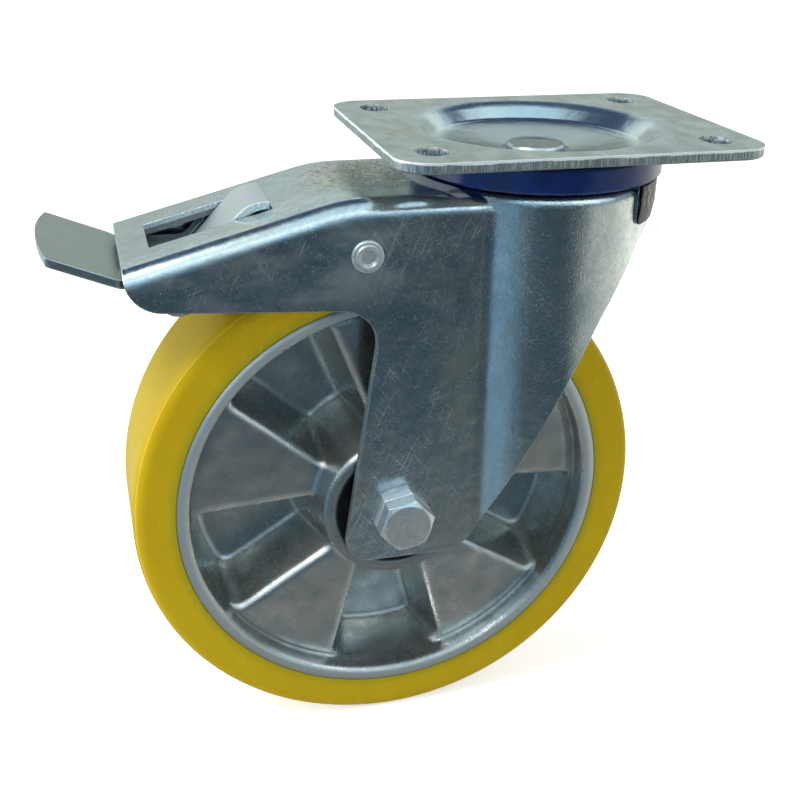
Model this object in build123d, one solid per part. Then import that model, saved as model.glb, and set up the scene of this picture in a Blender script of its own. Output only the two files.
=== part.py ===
"""Swivel castor with a total-stop brake: top plate, ball-bearing swivel head, pressed fork, wheel and pedal.

Frame, in millimetres: the origin is where the swivel axis meets the top face of the plate, +Z is up, +X is
the leading side and the wheel trails towards -X. The near side, with the head of the axle bolt, is -Y.
"""
from build123d import *
import math
import os

# Top plate, a 4 mm pressing with a dished middle
PLATE_LENGTH = 135.0
PLATE_WIDTH = 110.0
PLATE_THICK = 4.0
PLATE_CORNER_R = 12.0
SLOT_SPACING_X = 105.0
SLOT_SPACING_Y = 77.5
SLOT_WIDTH = 11.0
SLOT_LENGTH = 13.5
DISH_RIM_R = 45.2
DISH_FLOOR_R = 38.6
DISH_FLOOR_Z = -6.0
DISH_CENTRE_R = 13.4
DISH_CENTRE_Z = -9.5
DISH_RIM_FILLET = 8.0
DISH_FLOOR_FILLET = 2.5

# King pin
PIN_R = 8.0
PIN_HEAD_R = 11.1
PIN_HEAD_TOP = -7.0
PIN_RIVET_R = 12.0
PIN_RIVET_THICK = 2.8

# Swivel races
BALL_R = 3.5
RACE_CLEARANCE = 0.05
UPPER_PITCH_R = 38.5
UPPER_BALL_Z = -13.0
UPPER_BALL_COUNT = 30
LOWER_PITCH_R = 28.0
LOWER_BALL_Z = -22.45
LOWER_BALL_COUNT = 22
LOCK_BOSS_R = 20.0
LOCK_RING_R = 35.5
LOCK_RING_TOP = -24.6
LOCK_RING_BOTTOM = -30.2
NOTCH_COUNT = 24
NOTCH_WIDTH = 4.8
NOTCH_FLOOR_R = 30.6
SEAL_R = 47.0
SEAL_BORE_R = 43.1
SEAL_TOP = -6.5
SEAL_BOTTOM = -15.3
SEAL_EASE = 0.02

# Fork, one pressing of 4 mm sheet
SHEET = 4.0
HEAD_R = 44.0
HEAD_TOP = -15.8
HEAD_EDGE_R = 5.0
HEAD_BORE_R = 21.0
HOOD_HALF = 34.0
HOOD_END_X = -155.5
HOOD_END_TOP = -37.4
HOOD_FLAT_TOP = -17.3
HOOD_SLOPE = 0.264
HOOD_BEND_R = 60.0
HOOD_EDGE_R = 7.0
HOOD_BLEND_R = 8.0
CREST_R = 46.8
CREST_SLOPE = 1 / 3
CREST_TAIL_X = -60.0
CREST_TAIL_HALF = 24.0
CREST_DEPTH = 14.0
WINDOW_X = (-145.3, -102.3)
WINDOW_HALF = 14.2
LUG_R = 45.8
LUG_FOOT_R = 45.0
LUG_HALF_ANGLE = 54.0
LUG_Z = (-30.5, -16.2)
LUG_KNEE_Z = -25.0
LUG_CORNER_R = 2.5

# Wheel and axle
AXLE_X = -59.0
AXLE_Z = -140.0
WHEEL_R = 100.0
WHEEL_HALF = 25.0
TREAD_CORNER_R = 5.0
RIM_R = 84.0
RIM_LIP_R = 79.5
RIM_LIP_EDGE = 0.5
RIM_ROOT_R = 75.5
PAD_LEVEL = 18.0
PAD_EDGE_R = 2.2
PAD_END_R = 3.2
PAD_ROOT_R = 1.0
POCKET_FLOOR = -8.0
POCKET_DRAFT = 15.0
POCKET_INNER_HALF = 7.5
POCKET_OUTER_HALF = 17.1
POCKET_OUTER_CORNER = 5.0
POCKET_INNER_CORNER = 1.5
POCKET_FLOOR_FILLET = 1.0
POCKET_WALL_EASE = 0.1
POCKET_COUNT = 5
POCKET_START = 54.0
WEB_SKY = 40.0
HUB_R = 28.5
HUB_ROOT_R = 36.6
HUB_HALF = 29.0
HUB_RELIEF_R = 20.5
AXLE_R = 6.0
TUBE_BORE_R = 6.15
TUBE_R = 10.0
BEARING_R = 23.5
BEARING_WIDTH = 14.0
BEARING_INNER_LAND_R = 14.1
BEARING_OUTER_LAND_R = 19.6
BEARING_PITCH_R = 16.75
BEARING_BALL_R = 3.97
BEARING_BALL_COUNT = 8
HEX_FLATS = 19.0
HEX_TURN = 13.0
COLLAR_THICK = 4.0
BOLT_HEAD_TOP = 44.8
BOLT_FACE_R = 8.7
NUT_THICK = 9.0

# Brake arm and pedal
ARM_PIVOT = (-73.0, -36.4)
ARM_TURN = -4.5
ARM_EYE_R = 8.5
ARM_INNER = 26.2
ARM_SHEET = 3.0
PIVOT_R = 4.0
PIVOT_HEAD_R = 5.8
PIVOT_FLANGE_HIGH = 1.0
PIVOT_RING_R = 4.4
PIVOT_HEAD_HIGH = 2.0
PIVOT_DISH_R = 3.3
PIVOT_DISH_DEPTH = 1.3
PIVOT_LIP_R = 0.3
PIVOT_BACK_R = 6.0
PIVOT_BACK_THICK = 1.4
PEDAL_PIN = (-138.0, -49.8)
PEDAL_PIN_R = 3.0
PEDAL_SHEET = 3.0
PEDAL_HALF = 28.0
PEDAL_WEB_HALF = 25.7
TONGUE_HALF = 13.5
TONGUE_BEND_R = 14.0
SHOULDER_X = -122.2
SHOULDER_ROOT_X = -131.0
SHOULDER_INNER = 18.5
SHOULDER_ROOT_R = 2.0
PEDAL_CORNER_R = 5.0
PEDAL_END_X = -182.5
PEDAL_END_R = 122.5
RUNNING_FIT = 0.05
SADDLE_R = 106.0
PAD_GAP = 0.8
PAD_HALF = 17.0
PAD_ARC = (30.0, 40.0)
CROSS_X = (-58.0, -46.0)
CROSS_Z = (-36.5, -33.5)
BLADE_SHEET = 1.5
NOSE_TIP_Z = -31.2
SPRING_X = -52.0
SPRING_R = 4.2
SPRING_WIRE_R = 0.5
SPRING_TURNS = 5

Z_AXIS = Axis.Z
HOOD_INNER_HALF = HOOD_HALF - SHEET
HOOD_UNDERSIDE = HOOD_FLAT_TOP - SHEET
AXLE_PLACE = Pos(AXLE_X, 0, AXLE_Z) * Rot(90, 0, 0)


def turned(corners):
    """Solid of revolution about Z from (radius, height) corners."""
    profile = Plane.XZ * make_face(Polyline(*corners, close=True))
    return revolve(profile, Z_AXIS)


def ball_track(pitch_r, height, ball_r):
    """Torus that cuts a race with running clearance round its balls."""
    return Pos(0, 0, height) * Torus(pitch_r, ball_r + RACE_CLEARANCE)


def ball_ring(pitch_r, height, ball_r, count):
    """Evenly spaced balls as separate solids."""
    return [Pos(0, 0, height) * spot * Sphere(ball_r) for spot in PolarLocations(pitch_r, count)]


def side_plate(outline, inner, thick, sides=(-1, 1)):
    """The same XZ outline extruded as a plate on the near and on the far side."""
    plates = Part()
    for side in sides:
        middle = side * (inner + thick / 2)
        plates += Pos(0, middle, 0) * extrude(Plane.XZ * outline, thick / 2, both=True)
    return plates


def turned_with_arm(shape, turn):
    """The shape turned about the brake arm's pivot, in degrees about +Y."""
    pivot = Axis((ARM_PIVOT[0], 0, ARM_PIVOT[1]), (0, 1, 0))
    return shape.rotate(pivot, turn)


def dish_wall_radius(height):
    """Radius of the dish's outer skin at a height below the plate."""
    rim_r = DISH_RIM_R + 1.4
    floor_r = DISH_FLOOR_R + 1.4
    floor_z = DISH_FLOOR_Z - 3.9
    share = (-PLATE_THICK - height) / (-PLATE_THICK - floor_z)
    return rim_r + share * (floor_r - rim_r)


def top_plate():
    """Rounded rectangle with a pressed dish, four slots and the upper half of the upper race."""
    plate = extrude(RectangleRounded(PLATE_LENGTH, PLATE_WIDTH, PLATE_CORNER_R), -PLATE_THICK)
    floor_under = DISH_FLOOR_Z - 3.9
    centre_under = DISH_CENTRE_Z - SHEET
    neck_r = dish_wall_radius(-PLATE_THICK)
    bulge = turned([(0, -1), (neck_r, -1), (neck_r, -PLATE_THICK),
                    (dish_wall_radius(floor_under), floor_under), (DISH_CENTRE_R, centre_under),
                    (0, centre_under)])
    cavity = turned([(0, 1), (DISH_RIM_R + 1.1, 1), (DISH_FLOOR_R, DISH_FLOOR_Z),
                     (DISH_CENTRE_R, DISH_CENTRE_Z), (0, DISH_CENTRE_Z)])
    plate = plate + bulge - cavity
    rim = [edge for edge in plate.edges().filter_by(GeomType.CIRCLE) if abs(edge.radius - DISH_RIM_R) < 0.2]
    plate = fillet(rim, DISH_RIM_FILLET)
    floor = [edge for edge in plate.edges().filter_by(GeomType.CIRCLE)
             if abs(edge.radius - DISH_FLOOR_R) < 0.01 and edge.center().Z > -7]
    plate = fillet(floor, DISH_FLOOR_FILLET)
    outline = plate.faces().sort_by(Axis.Z)
    underside = [face for face in outline if abs(face.center().Z + PLATE_THICK) < 0.01][0]
    plate = fillet(underside.outer_wire().edges(), 0.9)
    slot = extrude(SlotOverall(SLOT_LENGTH, SLOT_WIDTH, rotation=90), -PLATE_THICK)
    slots = Part() + GridLocations(SLOT_SPACING_X, SLOT_SPACING_Y, 2, 2) * slot
    pin_hole = Pos(0, 0, centre_under) * Cylinder(PIN_R, 20)
    return plate - slots - pin_hole - ball_track(UPPER_PITCH_R, UPPER_BALL_Z, BALL_R)


def king_pin():
    """Headed pin that clamps the locking ring to the dish, riveted over underneath."""
    rivet_bottom = LOCK_RING_BOTTOM - PIN_RIVET_THICK
    pin = turned([(0, PIN_HEAD_TOP - 0.4), (PIN_HEAD_R - 4, PIN_HEAD_TOP - 0.4),
                  (PIN_HEAD_R - 2.5, PIN_HEAD_TOP), (PIN_HEAD_R - 0.8, PIN_HEAD_TOP),
                  (PIN_HEAD_R, PIN_HEAD_TOP - 0.8), (PIN_HEAD_R, DISH_CENTRE_Z), (PIN_R, DISH_CENTRE_Z),
                  (PIN_R, LOCK_RING_BOTTOM), (PIN_RIVET_R, LOCK_RING_BOTTOM), (PIN_RIVET_R - 2, rivet_bottom),
                  (0, rivet_bottom)])
    return pin


def locking_ring():
    """Boss and toothed flange below the fork head: lower race above, notches for the brake round its edge."""
    boss_top = DISH_CENTRE_Z - SHEET
    ring = turned([(PIN_R, boss_top), (LOCK_BOSS_R - 1, boss_top), (LOCK_BOSS_R, boss_top - 1),
                   (LOCK_BOSS_R, LOCK_RING_TOP), (LOCK_RING_R, LOCK_RING_TOP),
                   (LOCK_RING_R, LOCK_RING_BOTTOM), (PIN_R, LOCK_RING_BOTTOM)])
    notch_depth = LOCK_RING_R - NOTCH_FLOOR_R
    notch = Box(notch_depth * 2, NOTCH_WIDTH, 20)
    for spot in PolarLocations(NOTCH_FLOOR_R + notch_depth, NOTCH_COUNT):
        ring -= Pos(0, 0, LOCK_RING_BOTTOM) * spot * notch
    return ring - ball_track(LOWER_PITCH_R, LOWER_BALL_Z, BALL_R)


def seal_ring():
    """Dust ring pushed on to the outside of the dish, over the upper balls."""
    seat_low = SEAL_TOP - 0.7
    return turned([(dish_wall_radius(SEAL_TOP) + SEAL_EASE, SEAL_TOP), (SEAL_R - 0.8, SEAL_TOP),
                   (SEAL_R, SEAL_TOP - 0.8), (SEAL_R, SEAL_BOTTOM + 0.9), (SEAL_R - 0.9, SEAL_BOTTOM),
                   (SEAL_BORE_R, SEAL_BOTTOM), (SEAL_BORE_R, seat_low),
                   (dish_wall_radius(seat_low) + SEAL_EASE, seat_low)])


def hood_blank(inset):
    """Solid under the hood's skin: inset 0 is the outer skin, inset SHEET the inner one."""
    half = HOOD_HALF - inset
    reach = -HOOD_END_X + 3 * inset
    plan = Circle(HEAD_R - inset) + Pos(-reach / 2, 0) * Rectangle(reach, 2 * half)
    joins = [corner for corner in plan.vertices() if -60 < corner.X < -10]
    plan = fillet(joins, HOOD_BLEND_R + inset)
    blank = extrude(plan, -200)
    flat_top = HOOD_FLAT_TOP - inset
    drop = inset * math.hypot(1, HOOD_SLOPE)
    bend_x = HOOD_END_X + (flat_top - HOOD_END_TOP + drop) / HOOD_SLOPE
    low_x = -180.0
    low_z = flat_top + (low_x - bend_x) * HOOD_SLOPE
    roof = FilletPolyline((low_x, low_z), (bend_x, flat_top), (80, flat_top), radius=HOOD_BEND_R - inset)
    walls = Polyline((80, flat_top), (80, -210), (low_x, -210), (low_x, low_z))
    blank &= extrude(Plane.XZ * make_face(roof + walls), 100, both=True)
    roof_faces = [face for face in blank.faces() if face.normal_at(face.center()).Z > 0.5]
    joints = [edge for face in roof_faces for edge in face.edges()]
    rim = [edge for edge in joints if abs(edge.center().Y) > 1 or edge.center().X > 0]
    return fillet(rim, HOOD_EDGE_R - inset)


def head_blank(inset):
    """Solid under the raised head: a disc with a tapering tail, its crest a shallow cone."""
    start_x = -20.0
    start_half = HOOD_HALF - inset
    end_half = CREST_TAIL_HALF - inset
    tail = make_face(Polyline((0, start_half), (start_x, start_half), (CREST_TAIL_X, end_half),
                              (CREST_TAIL_X, -end_half), (start_x, -start_half), (0, -start_half),
                              close=True))
    plan = Circle(HEAD_R - inset) + tail
    joins = [corner for corner in plan.vertices() if start_x - 15 < corner.X < start_x]
    plan = fillet(joins, HOOD_BLEND_R + inset)
    top = HEAD_TOP - inset
    blank = Pos(0, 0, top) * extrude(plan, -CREST_DEPTH)
    rim = blank.faces().sort_by(Axis.Z)[-1].edges()
    blank = fillet(rim, HEAD_EDGE_R - inset)
    crest_r = CREST_R - inset * (math.hypot(1, CREST_SLOPE) - 1) / CREST_SLOPE
    return blank & turned([(0, top), (crest_r, top), (crest_r + CREST_DEPTH / CREST_SLOPE, top - CREST_DEPTH),
                           (0, top - CREST_DEPTH)])


def hood_skin(inset):
    """The hood with its head raised, which ends behind in a sloping crescent."""
    return hood_blank(inset) + head_blank(inset)


def fork_side_outline():
    """What the fork keeps when it is seen from the side: hood, leg and the slanting front edge."""
    corners = [((HOOD_END_X, -51.0), 13), ((-67.0, -56.9), 14), ((-81.4, -159.3), 9), ((-33.0, -159.3), 14),
               ((12.0, -64.7), 90), ((32.0, -33.0), 14)]
    points = [point for point, radius in corners]
    outline = make_face(Polyline((HOOD_END_X, 0), *points, (80, -33), (80, 0), close=True))
    for point, radius in corners:
        corner = outline.vertices().sort_by_distance((point[0], point[1], 0))[0]
        outline = fillet(corner, radius)
    return outline


def fork():
    """Hood, head and both legs from one sheet, with the brake window, bores and two half races."""
    shell = hood_skin(0) - hood_skin(SHEET)
    shell &= extrude(Plane.XZ * fork_side_outline(), 80, both=True)
    window_middle = sum(WINDOW_X) / 2
    window = Pos(window_middle, 0, -30) * Box(WINDOW_X[1] - WINDOW_X[0], 2 * WINDOW_HALF, 30)
    shell -= window
    shell -= Cylinder(HEAD_BORE_R, 60)
    shell -= AXLE_PLACE * Cylinder(TUBE_BORE_R, 120)
    shell -= Pos(ARM_PIVOT[0], 0, ARM_PIVOT[1]) * Rot(90, 0, 0) * Cylinder(PIVOT_R, 120)
    shell -= ball_track(UPPER_PITCH_R, UPPER_BALL_Z, BALL_R)
    shell -= ball_track(LOWER_PITCH_R, LOWER_BALL_Z, BALL_R)
    return shell


def front_lug():
    """Curved stop welded to the front of the head, a little thinner towards its foot."""
    section = make_face(Polyline((HEAD_R, LUG_Z[0]), (LUG_FOOT_R, LUG_Z[0]), (LUG_R, LUG_KNEE_Z),
                                 (LUG_R, LUG_Z[1]), (HEAD_R, LUG_Z[1]), close=True))
    lug = revolve(Plane.XZ * section, Z_AXIS, 2 * LUG_HALF_ANGLE).rotate(Z_AXIS, -LUG_HALF_ANGLE)
    low = [edge for edge in lug.edges().filter_by(GeomType.LINE)
           if abs(edge.center().Z - LUG_Z[0]) < 0.01 and abs(edge.center().Y) > HEAD_R / 2]
    return fillet(low, LUG_CORNER_R)


def rim_wall_radius(height):
    """Radius of the rim's drafted inner wall, from the pocket floor up to the lip."""
    share = (height - POCKET_FLOOR) / (WHEEL_HALF - POCKET_FLOOR)
    return RIM_ROOT_R + share * (RIM_LIP_R - RIM_ROOT_R)


def hub_wall_radius(height):
    """Radius of the hub's drafted outer wall, from the pocket floor up to the hub's end."""
    share = (height - POCKET_FLOOR) / (HUB_HALF - POCKET_FLOOR)
    return HUB_ROOT_R + share * (HUB_R - HUB_ROOT_R)


def pocket_outline(height):
    """Outline of a pocket about +X at a height: two drafted sides between arcs on the hub and on the rim."""
    inner_r = hub_wall_radius(height) + POCKET_WALL_EASE
    outer_r = rim_wall_radius(height) - POCKET_WALL_EASE
    lean = math.asin((POCKET_OUTER_HALF - POCKET_INNER_HALF) / (RIM_ROOT_R - HUB_ROOT_R))
    growth = (height - POCKET_FLOOR) * math.tan(math.radians(POCKET_DRAFT)) / math.cos(lean)
    start_x = HUB_R / 2
    end_x = RIM_R
    start_half = POCKET_INNER_HALF + growth - (HUB_ROOT_R - start_x) * math.tan(lean)
    end_half = POCKET_INNER_HALF + growth + (end_x - HUB_ROOT_R) * math.tan(lean)
    wedge = make_face(Polyline((start_x, start_half), (end_x, end_half), (end_x, -end_half),
                               (start_x, -start_half), close=True))
    outline = wedge & (Circle(outer_r) - Circle(inner_r))
    outline = fillet(outline.vertices().sort_by(Axis.X)[:2], POCKET_INNER_CORNER)
    return fillet(outline.vertices().sort_by(Axis.X)[-2:], POCKET_OUTER_CORNER)


def pocket():
    """One drafted pocket of the cast web, from its floor to the pads, with rounded floor edges."""
    floor = Pos(0, 0, POCKET_FLOOR) * pocket_outline(POCKET_FLOOR)
    mouth = Pos(0, 0, PAD_LEVEL) * pocket_outline(PAD_LEVEL)
    hollow = loft([floor, mouth], ruled=True)
    floor_edges = [edge for edge in hollow.edges() if abs(edge.center().Z - POCKET_FLOOR) < 0.01]
    return fillet(floor_edges, POCKET_FLOOR_FILLET)


def pad_end_crease():
    """Groove along the rim's wall into which the outer ends of the pads round off."""
    low = PAD_LEVEL - PAD_END_R
    high = PAD_LEVEL + 0.5
    start = rim_wall_radius(low) - PAD_END_R
    ring = turned([(start, low), (rim_wall_radius(low), low), (rim_wall_radius(high), high), (start, high)])
    return ring - Pos(0, 0, low) * Torus(start, PAD_END_R)


def web_hollow():
    """What the casting leaves open on one side: all above the pads, and five pockets between them."""
    sky = WEB_SKY - PAD_LEVEL
    hollow = Pos(0, 0, PAD_LEVEL + sky / 2) * Cylinder(RIM_R, sky)
    for turn in range(POCKET_COUNT):
        hollow += Rot(0, 0, POCKET_START + turn * 360 / POCKET_COUNT) * pocket()
    mouths = [edge for edge in hollow.edges() if abs(edge.center().Z - PAD_LEVEL) < 0.01
              and math.hypot(edge.center().X, edge.center().Y) > HUB_R and edge.length < RIM_R]
    hollow = fillet(mouths, PAD_EDGE_R)
    wall_top = WHEEL_HALF - RIM_LIP_EDGE
    hollow &= turned([(HUB_R, HUB_HALF), (HUB_ROOT_R, POCKET_FLOOR), (RIM_ROOT_R, POCKET_FLOOR),
                      (rim_wall_radius(wall_top), wall_top), (RIM_LIP_R + RIM_LIP_EDGE, WHEEL_HALF),
                      (RIM_LIP_R + RIM_LIP_EDGE, WEB_SKY), (HUB_R - 1, WEB_SKY), (HUB_R - 1, HUB_HALF)])
    hollow += pad_end_crease()
    hub_r = hub_wall_radius(PAD_LEVEL)
    roots = [edge for edge in hollow.edges().filter_by(GeomType.CIRCLE)
             if abs(edge.center().Z - PAD_LEVEL) < 0.01 and abs(edge.radius - hub_r) < 0.02]
    return fillet(roots, PAD_ROOT_R)


def wheel_centre():
    """Cast centre: rim, hub and a web folded into pads and pockets, five to a side."""
    hollow = web_hollow()
    body = Cylinder(RIM_R, 2 * WHEEL_HALF) + Cylinder(HUB_R + 4, 2 * HUB_HALF)
    body = body - hollow - Rot(180, 0, 0) * hollow
    body -= Cylinder(HUB_RELIEF_R, 2 * HUB_HALF)
    for side in (-1, 1):
        body -= Pos(0, 0, side * (HUB_HALF - BEARING_WIDTH / 2)) * Cylinder(BEARING_R, BEARING_WIDTH)
    return AXLE_PLACE * body


def tread():
    """Moulded tyre with rounded shoulders, bonded to the rim."""
    section = Pos((RIM_R + WHEEL_R) / 2, 0) * Rectangle(WHEEL_R - RIM_R, 2 * WHEEL_HALF)
    section = fillet(section.vertices().sort_by(Axis.X)[-2:], TREAD_CORNER_R)
    return AXLE_PLACE * revolve(Plane.XZ * section, Z_AXIS)


def at_both_bearings(shape):
    """The shape, drawn about a bearing's middle, at the near and at the far bearing."""
    middle = HUB_HALF - BEARING_WIDTH / 2
    return [AXLE_PLACE * Pos(0, 0, side * middle) * shape for side in (-1, 1)]


def bearing_ring(bore_r, outer_r):
    """One ring of a deep-groove ball bearing, with its track."""
    ring = Cylinder(outer_r, BEARING_WIDTH) - Cylinder(bore_r, BEARING_WIDTH)
    return ring - Torus(BEARING_PITCH_R, BEARING_BALL_R + RACE_CLEARANCE)


def bearing_seals():
    """Thin seals, two to a bearing, held in the outer rings."""
    seal = Cylinder(BEARING_OUTER_LAND_R, 1.0) - Cylinder(BEARING_INNER_LAND_R + 0.15, 1.0)
    pair = [Pos(0, 0, side * (BEARING_WIDTH / 2 - 1.0)) * seal for side in (-1, 1)]
    return [solid for shape in pair for solid in at_both_bearings(shape)]


def bearing_balls():
    """Eight balls in each bearing."""
    return [solid for ball in ball_ring(BEARING_PITCH_R, 0, BEARING_BALL_R, BEARING_BALL_COUNT)
            for solid in at_both_bearings(ball)]


def hexagon(thick, face_r):
    """Hexagon prism from z = 0 upwards, its top corners turned off at 30 degrees."""
    prism = extrude(RegularPolygon(HEX_FLATS / 2, 6, major_radius=False, rotation=HEX_TURN), thick)
    corner_r = HEX_FLATS / math.sqrt(3) + 0.5
    fall = (corner_r - face_r) * math.tan(math.radians(30))
    return prism & turned([(0, 0), (corner_r, 0), (corner_r, thick - fall), (face_r, thick), (0, thick)])


def axle_bolt():
    """M12 hexagon bolt, its head on the near side; its thread is left plain."""
    seat = HOOD_HALF + COLLAR_THICK
    washer_face = 0.5
    head = Pos(0, 0, seat + washer_face) * hexagon(BOLT_HEAD_TOP - seat - washer_face, BOLT_FACE_R)
    face = Pos(0, 0, seat + washer_face / 2) * Cylinder(BOLT_FACE_R - 0.4, washer_face)
    tail = HOOD_HALF + 2.5 + NUT_THICK + 1.5
    shank = Pos(0, 0, (seat - tail) / 2) * Cylinder(AXLE_R, seat + tail)
    shank = chamfer(shank.edges().sort_by(Axis.Z)[0], 1.0)
    return AXLE_PLACE * (head + face + shank)


def axle_collar():
    """Hexagon collar between the bolt head and the near leg."""
    collar = Pos(0, 0, HOOD_HALF) * hexagon(COLLAR_THICK, BOLT_FACE_R + 0.6)
    return AXLE_PLACE * (collar - Cylinder(TUBE_BORE_R, 200))


def axle_washer():
    """Plain washer on the far leg."""
    washer = Pos(0, 0, -HOOD_HALF - 1.25) * (Cylinder(12.0, 2.5) - Cylinder(TUBE_BORE_R, 2.5))
    return AXLE_PLACE * washer


def axle_nut():
    """Lock nut with a round collar; its bore is left plain."""
    nut = hexagon(NUT_THICK - 1.5, BOLT_FACE_R) + Pos(0, 0, NUT_THICK - 1.5) * Cylinder(8.0, 3.0)
    nut = nut - Cylinder(AXLE_R, 60)
    return AXLE_PLACE * Pos(0, 0, -HOOD_HALF - 2.5) * Rot(180, 0, 0) * nut


def axle_tube():
    """Spacer tube that carries the bearings and holds the legs apart."""
    return AXLE_PLACE * (Cylinder(TUBE_R, 2 * HOOD_INNER_HALF) - Cylinder(TUBE_BORE_R, 2 * HOOD_INNER_HALF))


def stub_rivet(centre, parts):
    """Rivet across the fork: (radius, from, to) cylinders along |y|, on both sides."""
    rivets = []
    for side in (-1, 1):
        rivet = Part()
        for radius, start, end in parts:
            middle = side * (start + end) / 2
            rivet += Pos(centre[0], middle, centre[1]) * Rot(90, 0, 0) * Cylinder(radius, end - start)
        rivets.append(rivet)
    return rivets


def pivot_rivets():
    """Two headed stubs that carry the brake arm inside the hood, each with a dished, ringed head."""
    flange = HOOD_HALF + PIVOT_FLANGE_HIGH
    top = HOOD_HALF + PIVOT_HEAD_HIGH
    inner = ARM_INNER - RUNNING_FIT
    back = inner - PIVOT_BACK_THICK
    floor = top - PIVOT_DISH_DEPTH
    stub = turned([(0, back), (PIVOT_BACK_R, back), (PIVOT_BACK_R, inner), (PIVOT_R, inner),
                   (PIVOT_R, HOOD_HALF), (PIVOT_HEAD_R, HOOD_HALF), (PIVOT_HEAD_R, flange),
                   (PIVOT_RING_R, flange), (PIVOT_RING_R, top), (PIVOT_DISH_R, top),
                   (PIVOT_DISH_R - 0.6, floor), (0, floor)])
    rim = [edge for edge in stub.edges().filter_by(GeomType.CIRCLE)
           if abs(edge.radius - PIVOT_HEAD_R) < 0.01 and edge.center().Z > HOOD_HALF + 0.1]
    stub = fillet(rim, PIVOT_FLANGE_HIGH * 0.7)
    lip = [edge for edge in stub.edges().filter_by(GeomType.CIRCLE) if edge.center().Z > top - 0.01]
    stub = fillet(lip, PIVOT_LIP_R)
    place = Pos(ARM_PIVOT[0], 0, ARM_PIVOT[1])
    return [place * Rot(90, 0, 0) * stub, place * Rot(-90, 0, 0) * stub]


def pivot_washers():
    """Thin washers between the hood and the arm."""
    washers = stub_rivet(ARM_PIVOT, [(7.5, ARM_INNER + ARM_SHEET + RUNNING_FIT, HOOD_INNER_HALF)])
    hole = Pos(ARM_PIVOT[0], 0, ARM_PIVOT[1]) * Rot(90, 0, 0) * Cylinder(PIVOT_R, 100)
    return [washer - hole for washer in washers]


def arm_outline():
    """Side of the arm: pedal ear, saddle cheek, pivot eye and front end."""
    x, z = ARM_PIVOT
    pin_x, pin_z = PEDAL_PIN
    spine = make_face(Polyline((pin_x - 1, pin_z + 5.2), (x, z + ARM_EYE_R), (CROSS_X[1], CROSS_Z[1] + 4),
                               (CROSS_X[1], CROSS_Z[0] - 0.6), (x, z - ARM_EYE_R), (-118, -52.5),
                               (-131, -53.6), (pin_x, pin_z - 5.2), close=True))
    ears = Pos(x, z) * Circle(ARM_EYE_R) + Pos(pin_x, pin_z) * Circle(5.2)
    holes = Pos(x, z) * Circle(PIVOT_R + RUNNING_FIT) + Pos(pin_x, pin_z) * Circle(PEDAL_PIN_R)
    return spine + ears - holes


def wheel_sector(inner_r, outer_r, start, end, half):
    """Curved block over the wheel, behind its top, between two angles from the vertical."""
    outer = CenterArc((0, 0), outer_r, 90 + start, end - start)
    inner = CenterArc((0, 0), inner_r, 90 + start, end - start)
    outline = outer + Line(outer @ 1, inner @ 1) + inner + Line(inner @ 0, outer @ 0)
    sector = Pos(AXLE_X, 0, AXLE_Z) * extrude(Plane.XZ * make_face(outline), half, both=True)
    return sector


def brake_arm():
    """Folded arm: two cheeks joined by a saddle over the wheel and by a bridge under the swivel head."""
    cheeks = side_plate(arm_outline(), ARM_INNER, ARM_SHEET)
    saddle = wheel_sector(SADDLE_R, SADDLE_R + ARM_SHEET, PAD_ARC[0] - 1.5, PAD_ARC[0] + 6, ARM_INNER)
    saddle += wheel_sector(SADDLE_R, SADDLE_R + ARM_SHEET, PAD_ARC[0] + 5, PAD_ARC[1] + 1, PAD_HALF + 0.5)
    saddle = turned_with_arm(saddle, -ARM_TURN)
    middle = Pos(sum(CROSS_X) / 2, 0, sum(CROSS_Z) / 2)
    bridge = middle * Box(CROSS_X[1] - CROSS_X[0], 2 * ARM_INNER, ARM_SHEET)
    arm = cheeks + saddle + bridge
    for y in (-8, 8):
        arm -= Pos(SPRING_X, y, 0) * Cylinder(1.5, 200)
    return arm - pad_rivet_shanks()


def pad_rivet_place(y, radius):
    """Where a rivet of the brake pad stands, its axis pointing at the axle."""
    return Pos(AXLE_X, y, AXLE_Z) * Rot(0, -35.5, 0) * Pos(0, 0, radius)


def pad_rivet_shanks():
    """Shanks of the two pad rivets."""
    shanks = Part()
    for y in (-10, 10):
        shanks += pad_rivet_place(y, SADDLE_R) * Cylinder(1.6, 8)
    return turned_with_arm(shanks, -ARM_TURN)


def pad_rivets():
    """Two rivets that hold the pad to the saddle."""
    rivets = []
    for y in (-10, 10):
        shank = pad_rivet_place(y, SADDLE_R) * Cylinder(1.6, 8)
        head = pad_rivet_place(y, SADDLE_R + ARM_SHEET + 0.6) * Cylinder(3.2, 1.2)
        rivets.append(turned_with_arm(shank + head, -ARM_TURN))
    return rivets


def brake_pad():
    """Grooved pad whose face meets the tread when the pedal is down."""
    pad = wheel_sector(WHEEL_R + PAD_GAP, SADDLE_R, PAD_ARC[0], PAD_ARC[1], PAD_HALF)
    third = (PAD_ARC[1] - PAD_ARC[0]) / 3
    for groove in (PAD_ARC[0] + third, PAD_ARC[1] - third):
        pad -= wheel_sector(WHEEL_R, WHEEL_R + PAD_GAP + 1.2, groove - 0.5, groove + 0.5, PAD_HALF + 1)
    return turned_with_arm(pad, -ARM_TURN) - pad_rivet_shanks()


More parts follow.
